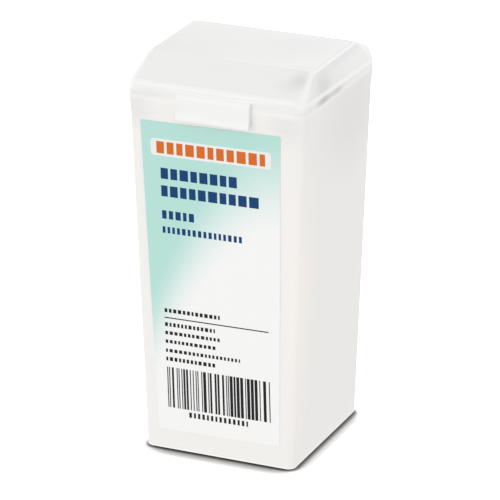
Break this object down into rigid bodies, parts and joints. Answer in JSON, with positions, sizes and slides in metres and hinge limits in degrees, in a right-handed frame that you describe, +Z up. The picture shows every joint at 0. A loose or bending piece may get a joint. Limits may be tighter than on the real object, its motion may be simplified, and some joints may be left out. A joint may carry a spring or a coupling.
{
  "type": "dental floss dispenser",
  "caption": "Tall drafted box with a hinged flip-top lid and thumb tab, holding a turning floss spool, a dispensing deck with outlet and steel cutter, and a front label.",
  "frame": {"origin": "middle of the base, on the surface it stands on", "axes": "+Z up, the labelled front and the thumb tab face -Y, the hinge is at +Y"},
  "size_m": [0.0366, 0.0369, 0.0789],
  "materials": {
    "case_plastic": "natural polypropylene, moulded, milky and faintly translucent",
    "lid_plastic": "natural polypropylene, moulded, milky and faintly translucent, fine satin",
    "hinge_plastic": "natural polypropylene, flexed thin",
    "deck_plastic": "white polypropylene, moulded satin",
    "cutter_steel": "thin stainless sheet, stamped and bent",
    "spool_plastic": "white polystyrene, moulded",
    "floss_nylon": "white unwaxed nylon yarn",
    "label_film": "printed white film, a soft teal wash from its top left corner"
  },
  "bodies": {
    "box": {"case": "case_plastic", "living_hinge": "hinge_plastic", "dispensing_deck": "deck_plastic", "cutter": "cutter_steel", "floss_strand": "floss_nylon", "front_label": "label_film"},
    "lid": {"lid": "lid_plastic"},
    "spool": {"spool": "spool_plastic", "floss_winding": "floss_nylon", "floss_outer_turns": "floss_nylon"}
  },
  "joints": [
    {"name": "lid_hinge", "type": "hinge", "parent": "box", "child": "lid", "pos_m": [0, 0.01765, 0.0723], "axis": [-1, 0, 0], "range_deg": [0, 160], "deforming": ["living_hinge"]},
    {"name": "spool_spin", "type": "hinge", "parent": "box", "child": "spool", "pos_m": [0, 0, 0.0017], "axis": [0, 0, 1], "continuous": true}
  ]
}
